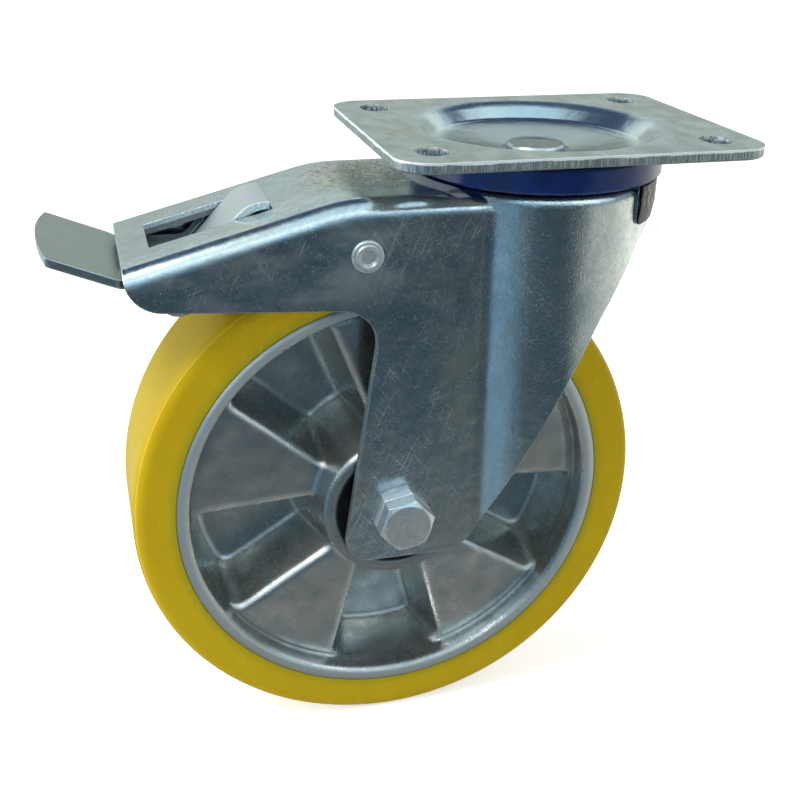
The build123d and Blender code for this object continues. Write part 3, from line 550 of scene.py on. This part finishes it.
@dataclass(frozen=True)
class TopPlateFinish(ZincPlate):
    """Duller rolled plate, smooth where the dish is drawn, with sheared edges and punched slots."""

    beside_dish: Span = (0.043, 0.052)
    dish_wall: Span = (0.047, 0.043)
    dish_floor: Span = (0.0375, 0.0330)
    clear_of_dish: Span = (0.052, 0.054)
    rollover: Span = (-0.0007, -0.0003)
    wander: float = 0.0010
    slot_x: Span = (0.0600, 0.0595)
    slot_y: Span = (0.0480, 0.0475)

    def build(self) -> bpy.types.Material:
        """Build the top plate's finish.

        Returns:
            The material.
        """
        skin = self.surface()
        radius = skin.radius(SWIVEL_AXIS, ROUND_Z)
        flat = skin.band(radius, *self.beside_dish)
        skin.lay(skin.clouds(0.6, 0.35, 0.65, stretch=(1.0, 2.0, 1.0), shift=4.7, within=flat),
                 Hue.ZINC_STRAW, 0.40, share=0.7, rise_mm=0.008)
        skin.lay(skin.clouds(9.0, 0.36, 0.68, stretch=(1.0, 1.6, 1.0), detail=5.0, shift=1.9, within=flat),
                 Hue.ZINC_DUN, 0.42, share=0.7)
        skin.lay(skin.band(radius, *self.dish_wall), Hue.ZINC, 0.14, share=0.8, metallic=1.0)
        skin.lay(skin.band(radius, *self.dish_floor), Hue.SHEAR_MARK, 0.22, share=0.75)
        upright = skin.band(skin.face_z, 0.6, 0.3)
        self._cut_faces(skin, skin.band(radius, *self.clear_of_dish, within=upright))
        return skin.done()

    def _cut_faces(self, skin: Surface, cut: Socket) -> None:
        """Lay the sheared outline, with its bright and uneven upper border, and the walls of the slots, which
        are painted darker as shade in the holes, with pale patches as painted highlights.

        Args:
            skin: The plate's surface.
            cut: Mask of the upright faces outside the dish.
        """
        skin.lay(cut, Hue.SHEAR_MARK, 0.5, share=0.9)
        skin.lay(skin.clouds(0.4, 0.45, 0.62, stretch=(1.0, 1.0, 14.0), shift=3.3, detail=3.0, within=cut),
                 Hue.ZINC_PALE, 0.45, share=0.45, rise_mm=0.03)
        uneven = skin.clouds(9.0, 0.1, 0.9, detail=4.0, shift=5.9)
        depth = add_node(skin.tree, "ShaderNodeMath", {0: uneven, 2: skin.z}, operation="MULTIPLY_ADD",
                         in_1=self.wander).outputs[0]
        border = skin.band(depth, *self.rollover, within=cut)
        skin.lay(border, Hue.CUT_STEEL, 0.45, share=0.95, metallic=0.35)
        along = add_node(skin.tree, "ShaderNodeMath", {0: skin.x}, operation="ABSOLUTE").outputs[0]
        across = add_node(skin.tree, "ShaderNodeMath", {0: skin.y}, operation="ABSOLUTE").outputs[0]
        # The slot walls are laid over darker as painted shade inside the holes; the pale patches on them are
        # painted highlights.
        shaded_slot_walls = skin.band(along, *self.slot_x, within=skin.band(across, *self.slot_y, within=cut))
        skin.lay(shaded_slot_walls, Hue.SHEAR_MARK, 0.4, share=0.95)
        skin.lay(skin.clouds(1.1, 0.40, 0.60, stretch=(1.0, 1.0, 2.0), shift=8.8, within=shaded_slot_walls), Hue.CUT_STEEL,
                 0.3, share=0.7, rise_mm=0.15)


@dataclass(frozen=True)
class PedalFinish(ZincPlate):
    """Plated strip, trodden dull on top, with rough sheared edges on the narrow tongue."""

    trodden_x: Span = (-0.150, -0.158)
    tongue_x: Span = (-0.150, -0.142)
    tongue_y: Span = (0.0145, 0.0140)

    def build(self) -> bpy.types.Material:
        """Build the pedal's finish.

        Returns:
            The material.
        """
        skin = self.surface()
        top = skin.band(skin.face_z, 0.4, 0.7)
        trodden = skin.limited(top, skin.band(skin.x, *self.trodden_x))
        skin.lay(trodden, Hue.ZINC_DUN, 0.46, share=0.8)
        tongue = skin.limited(top, skin.band(skin.x, *self.tongue_x))
        skin.lay(tongue, Hue.ZINC, 0.42, share=0.8, metallic=0.75)
        off_centre = add_node(skin.tree, "ShaderNodeMath", {0: skin.y}, operation="ABSOLUTE").outputs[0]
        side = add_node(skin.tree, "ShaderNodeMath", {0: skin.face_y}, operation="ABSOLUTE").outputs[0]
        cut = skin.band(side, 0.6, 0.8, within=skin.band(off_centre, *self.tongue_y))
        skin.lay(cut, Hue.CUT_STEEL, 0.55, share=0.9)
        skin.lay(skin.clouds(0.7, 0.38, 0.62, shift=3.6, within=cut), Hue.ZINC_GREY, 0.6, share=0.5,
                 rise_mm=-0.08)
        skin.lay(skin.band(skin.face_x, 0.6, 0.8), Hue.CUT_STEEL, 0.55, share=0.8)
        return skin.done()


@dataclass(frozen=True)
class LugFinish(ZincPlate):
    """Welded stop whose outer face kept the brown of the weld's heat under the plating."""

    outer_face: Span = (0.0444, 0.0447)

    def build(self) -> bpy.types.Material:
        """Build the lug's finish.

        Returns:
            The material.
        """
        skin = self.surface()
        outer = skin.band(skin.radius(SWIVEL_AXIS, ROUND_Z), *self.outer_face)
        skin.lay(outer, Hue.HEAT_BROWN, 0.34, share=0.95)
        skin.lay(skin.clouds(5.0, 0.40, 0.54, detail=5.0, shift=1.1, within=outer), Hue.SOOT, 0.42, share=0.9,
                 rise_mm=-0.25)
        return skin.done()


@dataclass(frozen=True)
class FastenerZinc(ZincPlate):
    """Cold-headed and plated steel: duller than the sheet, with fine die marks."""

    oxide: float = 0.2

    def build(self) -> bpy.types.Material:
        """Build the fastener finish.

        Returns:
            The material.
        """
        skin = self.surface()
        skin.lay(skin.clouds(1.0, 0.45, 0.65, detail=5.0, shift=2.6), Hue.ZINC_GREY, self.dull + 0.08,
                 share=0.5)
        skin.lay(skin.clouds(2.5, 0.2, 0.5, detail=5.0, shift=5.6), Hue.ZINC_PALE, share=self.oxide,
                 metallic=0.2)
        skin.lay(skin.clouds(0.4, 0.3, 0.7, detail=2.0, shift=3.8), rise_mm=0.012)
        return skin.done()


@dataclass(frozen=True)
class PinHeadFinish(ZincPlate):
    """Flattened rivet head whose top has lost its shine: blotched brown on grey."""

    def build(self) -> bpy.types.Material:
        """Build the king pin's finish.

        Returns:
            The material.
        """
        skin = self.surface()
        top = skin.band(skin.face_z, 0.7, 0.9)
        skin.lay(top, Hue.SHEAR_MARK, 0.36, share=0.8)
        skin.lay(skin.clouds(3.0, 0.42, 0.56, detail=5.0, shift=1.1, within=top), Hue.ZINC_BROWN, 0.45,
                 share=0.6)
        return skin.done()


@dataclass(frozen=True)
class CastAluminium:
    """Die-cast aluminium: satin skin that flowed into the die, a turned rim face and a turned hub face."""

    name: str
    rim_lip: Span = (0.0795, 0.0798)
    hub_face: Span = (0.0287, 0.0285)
    painted_shade_inside: Span = (0.0251, 0.0239)
    ring_inside: Span = (0.0207, 0.0211)
    ring_outside: Span = (0.0223, 0.0219)

    def build(self) -> bpy.types.Material:
        """Build the wheel centre's finish.

        Returns:
            The material.
        """
        skin = Surface(self.name, Hue.CAST_ALUMINIUM, 0.24, edge_mm=4.0)
        skin.lay(skin.clouds(16.0, 0.30, 0.70, shift=1.2), Hue.CAST_SHADE, 0.36, share=0.5)
        skin.lay(skin.clouds(12.0, 0.40, 0.75, shift=5.2, detail=4.0), Hue.CAST_SMOKE, 0.34, share=0.4,
                 metallic=0.85)
        skin.lay(skin.clouds(2.2, 0.42, 0.66, detail=5.0, shift=3.2), Hue.CAST_SHADE, 0.36, share=0.25)
        skin.lay(skin.clouds(17.0, 0.2, 0.8, detail=1.0, shift=8.5), rise_mm=0.28)
        skin.lay(skin.specks(4.5, 0.10), Hue.BURNT_OIL, 0.5, share=0.6)
        skin.lay(skin.scratches(5.0, turn=(20.0, 40.0, 0.0), rare=0.71, shift=1.4), Hue.TURNED_ALUMINIUM, 0.3,
                 share=0.4)
        skin.lay(skin.clouds(0.5, 0.3, 0.7, detail=3.0, shift=2.4), rise_mm=0.012)
        self._turned_faces(skin)
        return skin.done()

    def _turned_faces(self, skin: Surface) -> None:
        """Lay the ringed lip of the rim, and the oily hub face with painted shade in its middle and a pale
        ring.

        Args:
            skin: The wheel centre's surface.
        """
        radius = skin.radius(AXLE, ROUND_Y)
        flat = add_node(skin.tree, "ShaderNodeMath", {0: skin.face_y}, operation="ABSOLUTE").outputs[0]
        facing = skin.band(flat, 0.9, 0.97)
        lip = skin.band(radius, *self.rim_lip, within=facing)
        skin.lay(lip, Hue.TURNED_ALUMINIUM, 0.5)
        skin.lay(skin.turning_lines(radius, TURNING_PITCH_MM, within=lip), Hue.CAST_ALUMINIUM, 0.5, share=0.4,
                 rise_mm=0.01)
        hub = skin.limited(facing, skin.band(radius, *self.hub_face))
        skin.lay(hub, Hue.HUB_GREY, 0.45, share=0.7)
        skin.lay(skin.clouds(0.7, 0.45, 0.7, detail=4.0, shift=4.4, within=hub), Hue.BURNT_OIL, 0.55,
                 share=0.35, rise_mm=-0.01)
        # The middle of the hub's face is painted near black: painted shade in the bore.
        skin.lay(skin.band(radius, *self.painted_shade_inside, within=hub), Hue.SOOT, 0.5, share=0.9)
        ring = skin.band(radius, *self.ring_inside, within=hub)
        skin.lay(skin.band(radius, *self.ring_outside, within=ring), Hue.HUB_GREY, 0.4, share=0.8,
                 metallic=0.9)


@dataclass(frozen=True)
class MouldedTread:
    """Cast polyurethane: a satin, slightly waxy elastomer, greener where it thins against the rim."""

    name: str
    ior: float = 1.5
    gloss: float = 0.08
    thin_edge: Span = (0.0885, 0.0842)
    dirt_line: Span = (0.0847, 0.0842)
    seam_near: Span = (0.0228, 0.0231)
    seam_far: Span = (0.0236, 0.0233)
    seam_radius: Span = (0.094, 0.095)

    def build(self) -> bpy.types.Material:
        """Build the tread's finish.

        Returns:
            The material.
        """
        skin = Surface(self.name, Hue.TREAD_YELLOW, 0.38, metallic=0.0)
        radius = skin.radius(AXLE, ROUND_Y)
        skin.lay(skin.clouds(30.0, 0.35, 0.65, shift=0.7), Hue.TREAD_DEEP, 0.40, share=0.6)
        skin.lay(skin.band(radius, *self.thin_edge), Hue.TREAD_GREEN, share=0.85)
        skin.lay(skin.band(radius, *self.dirt_line), Hue.TREAD_DIRT, 0.6, share=0.8)
        off_centre = add_node(skin.tree, "ShaderNodeMath", {0: skin.y}, operation="ABSOLUTE").outputs[0]
        seam = skin.band(off_centre, *self.seam_near, within=skin.band(off_centre, *self.seam_far))
        skin.lay(skin.band(radius, *self.seam_radius, within=seam), Hue.TREAD_SCUFF, 0.3, share=0.6,
                 rise_mm=0.08)
        skin.lay(skin.clouds(3.0, 0.58, 0.66, stretch=(1.0, 1.0, 3.0), shift=3.7), Hue.TREAD_SCUFF, 0.5,
                 share=0.1)
        skin.lay(skin.specks(9.0, 0.05), Hue.BURNT_OIL, share=0.5)
        skin.lay(skin.clouds(0.9, 0.3, 0.7, detail=3.0, shift=2.0), rise_mm=0.01)
        skin.shader.inputs["IOR"].default_value = self.ior
        skin.shader.inputs["Specular IOR Level"].default_value = self.gloss
        return skin.done()


@dataclass(frozen=True)
class MouldedPlastic:
    """Injection-moulded polymer or rubber: an even colour with a faint second tone and a fine grain."""

    name: str
    hue: Hue
    second: Hue
    roughness: float
    ior: float = 1.5
    gloss: float = 0.3
    grain_mm: float = 0.5
    grain_rise: float = 0.01

    def build(self) -> bpy.types.Material:
        """Build the moulded finish.

        Returns:
            The material.
        """
        skin = Surface(self.name, self.hue, self.roughness, metallic=0.0)
        skin.lay(skin.clouds(8.0, 0.35, 0.65), self.second, self.roughness + 0.08, share=0.7)
        skin.lay(skin.scratches(5.0, turn=(0.0, 80.0, 15.0), rare=0.72), roughness=self.roughness + 0.2,
                 share=0.6)
        skin.lay(skin.clouds(self.grain_mm, 0.3, 0.7, shift=1.5), rise_mm=self.grain_rise)
        skin.shader.inputs["IOR"].default_value = self.ior
        skin.shader.inputs["Specular IOR Level"].default_value = self.gloss
        return skin.done()


@dataclass(frozen=True)
class GroundSteel:
    """Hardened steel, ground and lightly oiled: an even grey shine with faint streaks."""

    name: str
    hue: Hue = Hue.BEARING_STEEL
    second: Hue = Hue.BEARING_SHADE
    roughness: float = 0.22

    def build(self) -> bpy.types.Material:
        """Build the ground finish.

        Returns:
            The material.
        """
        skin = Surface(self.name, self.hue, self.roughness)
        skin.lay(skin.clouds(5.0, 0.4, 0.6), self.second, self.roughness + 0.12, share=0.6)
        skin.lay(skin.clouds(GRINDING_MM, 0.35, 0.65, stretch=(8.0, 1.0, 8.0), shift=1.8),
                 roughness=self.roughness + 0.1, rise_mm=0.003)
        return skin.done()


@dataclass(frozen=True)
class Finishes:
    """Every finish of the castor and the parts that wear it."""

    worn_by: dict[str, tuple[str, ...]] = field(default_factory=lambda: {
        "plate": ("top_plate",),
        "fork": ("fork",),
        "lug": ("front_lug",),
        "pedal": ("pedal",),
        # The brake arm is painted dark grey: painted shade inside the hood.
        "inner": ("brake_arm",),
        "fastener": ("locking_ring", "pivot_washers", "axle_bolt", "axle_washer", "axle_nut", "pad_rivets",
                     "blade_rivets", "pedal_pins"),
        # The rivets and the collar get a paler copy of the fastener finish: a painted highlight.
        "bright": ("pivot_rivets", "axle_collar"),
        "pin": ("king_pin",),
        "cast": ("wheel_centre",),
        "tread": ("tread",),
        "seal": ("seal_ring",),
        "rubber": ("bearing_seals",),
        "facing": ("brake_pad",),
        "ground": ("upper_balls", "lower_balls", "bearing_balls", "bearing_inner_rings", "axle_tube"),
        # The outer rings of the bearings are painted near black: painted shade in the hub's bore.
        "oiled": ("bearing_outer_rings",),
        "spring": ("lock_blade", "return_spring"),
    })

    def build(self) -> dict[str, bpy.types.Material]:
        """Make the finishes.

        Returns:
            The materials by the keys of worn_by.
        """
        return {
            "plate": TopPlateFinish("zinc plated rolled steel plate", patch_mm=8.0, smooth=0.26,
                                    dull=0.42).build(),
            "fork": ForkPlate("zinc plated pressed steel", patch_mm=8.0).build(),
            "lug": LugFinish("heat-stained zinc plate", patch_mm=4.0).build(),
            "pedal": PedalFinish("zinc plated steel strip", patch_mm=7.0, smooth=0.26, dull=0.38,
                                 edge_mm=0.9).build(),
            # Dark grey steel for the brake arm: painted shade inside the hood.
            "inner": GroundSteel("shade-painted steel", Hue.INSIDE_SHADE_GREY, Hue.SOOT_GREY, 0.5).build(),
            "fastener": FastenerZinc("zinc plated cold-headed steel", patch_mm=3.0, smooth=0.26,
                                     dull=0.4).build(),
            # A paler copy of the fastener finish, whose extra pale oxide is a painted highlight.
            "bright": FastenerZinc("highlight-painted zinc plate", patch_mm=3.0, smooth=0.26, dull=0.44,
                                   oxide=0.34).build(),
            "pin": PinHeadFinish("zinc plated rivet head", patch_mm=3.0, smooth=0.28, dull=0.42).build(),
            "cast": CastAluminium("die-cast aluminium").build(),
            "tread": MouldedTread("cast polyurethane").build(),
            "seal": MouldedPlastic("moulded nylon", Hue.SEAL_BLUE, Hue.SEAL_DEEP, 0.16).build(),
            "rubber": MouldedPlastic("nitrile rubber", Hue.SOOT, Hue.SOOT_GREY, 0.5).build(),
            "facing": MouldedPlastic("moulded brake facing", Hue.SOOT_GREY, Hue.SOOT, 0.7,
                                     grain_rise=0.05).build(),
            "ground": GroundSteel("ground bearing steel").build(),
            # Near-black steel for the bearings' outer rings: painted shade in the hub's bore.
            "oiled": GroundSteel("shade-darkened bearing steel", Hue.SOOT_GREY, Hue.SOOT, 0.35).build(),
            "spring": GroundSteel("oiled spring steel", Hue.SPRING_GREY, Hue.SPRING_SHADE, 0.35).build(),
        }

    def dress(self, nodes: dict[str, bpy.types.Object]) -> None:
        """Give every CAD part its finish.

        Args:
            nodes: The CAD parts by name.
        """
        made = self.build()
        for key, names in self.worn_by.items():
            for name in names:
                nodes[name].data.materials.clear()
                nodes[name].data.materials.append(made[key])
                LOG.info("%s wears %s", name, made[key].name)


@dataclass(frozen=True)
class Tent:
    """The soft tent round the object: its panels below and its roof above, as linear colours at full light.

    The panels are given by their place round the tent, from the left side through the camera's side, the
    right side and the backdrop. The roof is given by the sine of its height, once for the camera's half and
    once for the back. The spans are parts of the direction's unit vector.
    """

    panels: Stops = ((0.00, (0.22, 0.42, 0.60)), (0.13, (0.24, 0.44, 0.62)), (0.205, (0.065, 0.105, 0.135)),
                     (0.315, (0.050, 0.090, 0.120)), (0.355, (0.60, 0.64, 0.60)), (0.56, (1.55, 1.55, 1.40)),
                     (0.68, (0.66, 0.84, 0.84)), (0.82, (0.70, 0.78, 0.76)), (0.95, (0.60, 0.70, 0.76)))
    ground: Point = (0.42, 0.45, 0.44)
    front_roof: Stops = ((0.0, (0.10, 0.17, 0.22)), (0.30, (0.20, 0.34, 0.46)), (0.50, (0.9, 1.4, 1.75)),
                         (0.70, (1.7, 2.0, 2.1)), (0.86, (1.0, 1.35, 1.5)), (1.0, (0.75, 1.1, 1.25)))
    back_roof: Stops = ((0.0, (0.45, 0.52, 0.48)), (0.27, (0.50, 0.57, 0.52)), (0.40, (1.1, 1.25, 1.25)),
                        (0.52, (0.80, 1.0, 1.05)), (0.66, (0.05, 0.10, 0.20)), (0.95, (0.05, 0.10, 0.19)))
    even: float = 0.42
    to_back: Span = (-0.10, 0.30)
    roof_line: Span = (-0.12, 0.22)
    ground_line: Span = (-0.40, -0.70)

    def build(self) -> None:
        """Set the world: white to the camera, the tent in reflections, and even light for all else."""
        world = bpy.data.worlds.new("studio")
        bpy.context.scene.world = world
        world.use_nodes = True
        tree = world.node_tree
        tree.nodes.clear()
        way = add_node(tree, "ShaderNodeTexCoord").outputs["Generated"]
        parts = add_node(tree, "ShaderNodeSeparateXYZ", {"Vector": way})
        place = add_node(tree, "ShaderNodeTexGradient", {"Vector": way},
                         gradient_type="RADIAL").outputs["Fac"]
        walls = self._ramp(tree, place, self.panels)
        front = self._ramp(tree, parts.outputs["Z"], self.front_roof)
        back = self._ramp(tree, parts.outputs["Z"], self.back_roof)
        behind = add_node(tree, "ShaderNodeMapRange", {"Value": parts.outputs["Y"]},
                          interpolation_type="SMOOTHSTEP", in_From_Min=self.to_back[0],
                          in_From_Max=self.to_back[1])
        roof = add_node(tree, "ShaderNodeMix", {0: behind.outputs[0], 6: front, 7: back}, data_type="RGBA")
        rise = add_node(tree, "ShaderNodeMapRange", {"Value": parts.outputs["Z"]},
                        interpolation_type="SMOOTHSTEP", in_From_Min=self.roof_line[0],
                        in_From_Max=self.roof_line[1])
        fall = add_node(tree, "ShaderNodeMapRange", {"Value": parts.outputs["Z"]},
                        interpolation_type="SMOOTHSTEP", in_From_Min=self.ground_line[0],
                        in_From_Max=self.ground_line[1], in_To_Min=0.0, in_To_Max=1.0)
        walls = add_node(tree, "ShaderNodeMix", {0: fall.outputs[0], 6: walls}, data_type="RGBA",
                         in_7=(*self.ground, 1.0)).outputs[2]
        tent = add_node(tree, "ShaderNodeMix", {0: rise.outputs[0], 6: walls, 7: roof.outputs[2]},
                        data_type="RGBA")
        path = add_node(tree, "ShaderNodeLightPath")
        shown = add_node(tree, "ShaderNodeMix", {0: path.outputs["Is Glossy Ray"], 7: tent.outputs[2]},
                         data_type="RGBA", in_6=(self.even, self.even, self.even, 1.0))
        seen = add_node(tree, "ShaderNodeMath", {0: path.outputs["Is Camera Ray"],
                                                 1: path.outputs["Is Transmission Ray"]}, operation="MAXIMUM")
        final = add_node(tree, "ShaderNodeMix", {0: seen.outputs[0], 6: shown.outputs[2]}, data_type="RGBA",
                         in_7=(1.0, 1.0, 1.0, 1.0))
        light = add_node(tree, "ShaderNodeBackground", {"Color": final.outputs[2]}, in_Strength=1.0)
        add_node(tree, "ShaderNodeOutputWorld", {"Surface": light.outputs["Background"]})

    def _ramp(self, tree: bpy.types.NodeTree, place: Socket, stops: Stops) -> Socket:
        """Blend colours along one measure.

        Args:
            tree: The world's node tree.
            place: The measure, from 0 to 1.
            stops: Position and colour of each stop, in order.

        Returns:
            The blended colour.
        """
        ramp = add_node(tree, "ShaderNodeValToRGB", {"Fac": place})
        ramp.color_ramp.interpolation = "EASE"
        while len(ramp.color_ramp.elements) < len(stops):
            ramp.color_ramp.elements.new(0.5)
        for element, (position, colour) in zip(ramp.color_ramp.elements, stops):
            element.position = position
            element.color = (*colour, 1.0)
        return ramp.outputs["Color"]


@dataclass(frozen=True)
class SoftBox:
    """A round soft lamp that faces the castor: places in metres, power in watts."""

    name: str
    place: Point
    size: float
    watts: float
    aim: Point = (-0.05, 0.0, -0.1)

    def hang(self) -> None:
        """Put the lamp in the scene."""
        data = bpy.data.lights.new(self.name, "AREA")
        data.shape = "DISK"
        data.size = self.size
        data.energy = self.watts
        lamp = bpy.data.objects.new(self.name, data)
        lamp.location = self.place
        lamp.rotation_euler = (Vector(self.aim) - Vector(self.place)).to_track_quat("-Z", "Y").to_euler()
        bpy.context.scene.collection.objects.link(lamp)


@dataclass(frozen=True)
class Studio:
    """Camera, lamps, world and floor."""

    camera_mm: Point = (-166.535, -403.712, 85.061)
    camera_forward: Point = (0.250771, 0.873166, -0.417966)
    camera_right: Point = (0.963522, -0.266832, 0.020659)
    lens_mm: float = 52.01
    sensor_mm: float = 36.0
    clip_start: float = 0.01
    floor_size: float = 8.0
    glow: float = 0.60
    lamps: tuple[SoftBox, ...] = (SoftBox("key", (-0.9, -0.25, 1.1), 0.7, 18.0),
                                  SoftBox("fill", (0.9, -0.9, 0.8), 1.2, 4.0),
                                  SoftBox("side", (-1.2, 0.30, 0.15), 0.8, 6.5))

    def build(self, floor_z: float) -> None:
        """Make the floor, the light and the camera.

        Args:
            floor_z: Height of the floor in metres.
        """
        bpy.context.scene.view_settings.view_transform = "Standard"
        self._camera()
        self._floor(floor_z)
        Tent().build()
        for lamp in self.lamps:
            lamp.hang()

    def _camera(self) -> None:
        """Set the camera."""
        data = bpy.data.cameras.new("studio_camera")
        data.lens = self.lens_mm
        data.sensor_width = self.sensor_mm
        data.clip_start = self.clip_start
        camera = bpy.data.objects.new("studio_camera", data)
        forward = Vector(self.camera_forward).normalized()
        right = Vector(self.camera_right).normalized()
        up = right.cross(forward)
        turn = Matrix((right, up, -forward)).transposed()
        camera.matrix_world = Matrix.Translation(Vector(self.camera_mm) * MM) @ turn.to_4x4()
        bpy.context.scene.collection.objects.link(camera)
        bpy.context.scene.camera = camera

    def _floor(self, floor_z: float) -> None:
        """Lay a wide pale floor under the wheel.

        Args:
            floor_z: Height of the floor in metres.
        """
        mesh = bmesh.new()
        bmesh.ops.create_grid(mesh, x_segments=1, y_segments=1, size=self.floor_size)
        bmesh.ops.translate(mesh, verts=mesh.verts, vec=(0, 0, floor_z))
        data = bpy.data.meshes.new("floor")
        mesh.to_mesh(data)
        mesh.free()
        floor = bpy.data.objects.new("floor", data)
        floor.visible_glossy = False
        bpy.context.scene.collection.objects.link(floor)
        data.materials.append(self._paper())
        floor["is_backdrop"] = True

    def _paper(self) -> bpy.types.Material:
        """Build white paper that glows just enough to stay white to the camera, with the shadow left in it.

        Returns:
            The material.
        """
        surface = Surface("white studio paper", Hue.FLOOR, 0.9, metallic=0.0)
        path = add_node(surface.tree, "ShaderNodeLightPath")
        seen = add_node(surface.tree, "ShaderNodeMath", {0: path.outputs["Is Camera Ray"],
                                                         1: path.outputs["Is Glossy Ray"]},
                        operation="MAXIMUM")
        seen = add_node(surface.tree, "ShaderNodeMath", {0: seen.outputs[0],
                                                         1: path.outputs["Is Transmission Ray"]},
                        operation="MAXIMUM")
        glow = add_node(surface.tree, "ShaderNodeMath", {0: seen.outputs[0]}, operation="MULTIPLY",
                        in_1=self.glow)
        surface.tree.links.new(glow.outputs[0], surface.shader.inputs["Emission Strength"])
        surface.shader.inputs["Emission Color"].default_value = (1.0, 1.0, 1.0, 1.0)
        return surface.done()


def main() -> None:
    """Build everything in order."""
    logging.basicConfig(level=logging.INFO, format="%(message)s")
    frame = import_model()
    cad_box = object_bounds()
    Finishes().dress(frame["nodes"])
    Studio().build(floor_z=cad_box[0][2])


if __name__ == "__main__":
    main()
